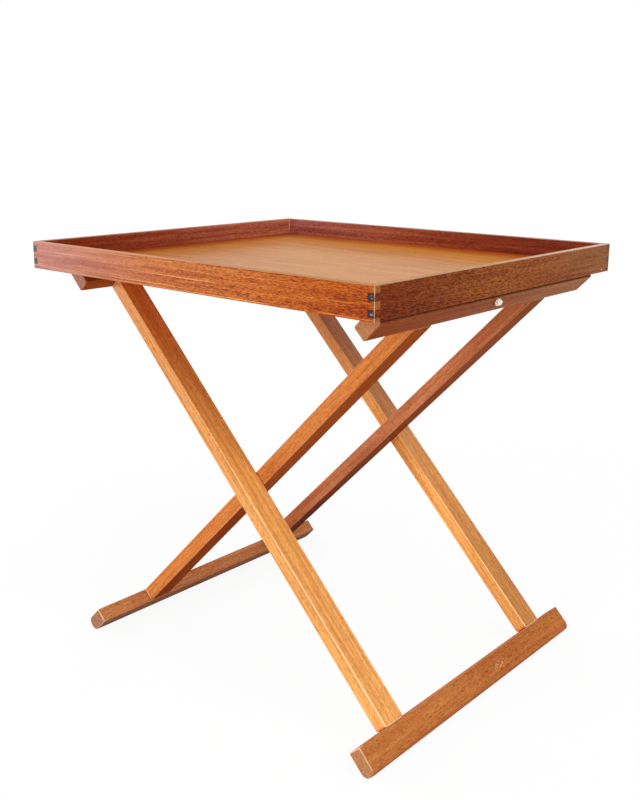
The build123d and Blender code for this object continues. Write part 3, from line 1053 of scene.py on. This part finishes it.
LAMPS = {
    "front": Lamp((0.2, -2.9, 0.72), (1.4, 1.4)),
    "window": Lamp((-3.0, -1.1, 0.62), (2.1, 1.2), (0.86, 0.94, 1.0)),
    "right": Lamp((2.7, -0.4, 1.15), (1.8, 2.1)),
    "sky": Lamp((1.2, -0.4, 2.4), (2.0, 2.0)),
    "back": Lamp((0.1, 3.0, 1.95), (2.0, 1.3)),
    "left": Lamp((-3.0, 0.4, 1.95), (2.0, 1.3)),
}

# Point that the lamps face
TABLE_MIDDLE = (0, 0, 0.35)

# Floor: half its side, its colour to the camera, and the distances and shares at which it turns white
FLOOR_REACH = 80.0
FLOOR_SEEN = (0.9, 0.9, 0.9)
FLOOR_FADE = (0.5, 1.8)
FLOOR_WHITE = (0.92, 1.0)


class TRAYTABLE_OT_stage(bpy.types.Operator):
    """Pale floor, soft light from all four sides and from above, and an even surround"""

    bl_idname = "tray_table.stage"
    bl_label = "Stage"

    def execute(self, context):
        stage = context.scene.tray_table.stage
        self.floor(stage)
        for name, lamp in LAMPS.items():
            self.light(f"{name}_light", lamp, getattr(stage, f"{name}_power"))
        self.surround(stage)
        bpy.context.scene.view_settings.view_transform = "Standard"
        return {"FINISHED"}

    def floor(self, stage):
        """Flat square, white to the camera, that keeps the table's shadow and fades into the surround."""
        corners = FLOOR_REACH * np.array([(-1, -1, 0), (1, -1, 0), (1, 1, 0), (-1, 1, 0)], float)
        mesh = bpy.data.meshes.new("floor")
        mesh.from_pydata(corners.tolist(), [], [(0, 1, 2, 3)])
        floor = bpy.data.objects.new("floor", mesh)
        bpy.context.scene.collection.objects.link(floor)
        finish = Finish("floor_white")
        tree = finish.tree
        seen = finish.seen()
        paint = finish.mix(seen, tuple(stage.floor), FLOOR_SEEN)
        diffuse = finish.node("ShaderNodeBsdfDiffuse", {"Color": paint})
        glow = finish.node("ShaderNodeEmission", {"Color": (1, 1, 1, 1), "Strength": 1.0})
        away = finish.vector("LENGTH", finish.coords["Object"])
        white = finish.math("MULTIPLY", seen, finish.between(away, *FLOOR_FADE, *FLOOR_WHITE))
        inputs = {0: white, 1: diffuse.outputs[0], 2: glow.outputs[0]}
        both = finish.node("ShaderNodeMixShader", inputs)
        tree.links.new(both.outputs[0], tree.nodes["Material Output"].inputs["Surface"])
        tree.nodes.remove(finish.shader)
        mesh.materials.append(finish.material)

    def light(self, name, lamp, watts):
        """Lamp of the list above, turned to the middle of the table."""
        data = bpy.data.lights.new(name, "AREA")
        data.shape = "RECTANGLE"
        data.energy = watts
        data.color = lamp.tint
        data.size, data.size_y = lamp.size
        made = bpy.data.objects.new(name, data)
        made.location = lamp.place
        aim = Vector(TABLE_MIDDLE) - Vector(lamp.place)
        made.rotation_euler = aim.to_track_quat("-Z", "Y").to_euler()
        bpy.context.scene.collection.objects.link(made)

    def surround(self, stage):
        """World that is white to the camera and in reflections, and dimmer as a light."""
        world = bpy.data.worlds.new("surround")
        world.use_nodes = True
        shading = Shading(world.node_tree)
        back = world.node_tree.nodes["Background"].inputs
        back["Color"].default_value = (1, 1, 1, 1)
        strength = shading.node("ShaderNodeMapRange", {"Value": shading.seen(), "To Min": stage.ambient})
        shading.join(strength.outputs[0], back["Strength"])
        bpy.context.scene.world = world


OPERATORS = (
    TRAYTABLE_OT_camera,
    TRAYTABLE_OT_cord,
    TRAYTABLE_OT_tray_boards,
    TRAYTABLE_OT_tray_panel,
    TRAYTABLE_OT_outer_frame,
    TRAYTABLE_OT_inner_frame,
    TRAYTABLE_OT_pivots,
    TRAYTABLE_OT_stage,
)


class TRAYTABLE_PT_panel(bpy.types.Panel):
    """Lists the table's operators in the sidebar"""

    bl_idname = "TRAYTABLE_PT_panel"
    bl_label = "Folding tray table"
    bl_space_type = "VIEW_3D"
    bl_region_type = "UI"
    bl_category = "Tray Table"

    def draw(self, context):
        for operator in OPERATORS:
            self.layout.operator(operator.bl_idname)


CLASSES = (TrayColours, StandColours, CordSizes, StageSettings, TrayTable, *OPERATORS, TRAYTABLE_PT_panel)


def register():
    for cls in CLASSES:
        bpy.utils.register_class(cls)
    bpy.types.Scene.tray_table = PointerProperty(type=TrayTable)


def unregister():
    del bpy.types.Scene.tray_table
    for cls in reversed(CLASSES):
        bpy.utils.unregister_class(cls)


def main():
    """Registers the classes and makes every piece in order."""
    register()
    for operator in OPERATORS:
        group, name = operator.bl_idname.split(".")
        getattr(getattr(bpy.ops, group), name)()


if __name__ == "__main__":
    main()
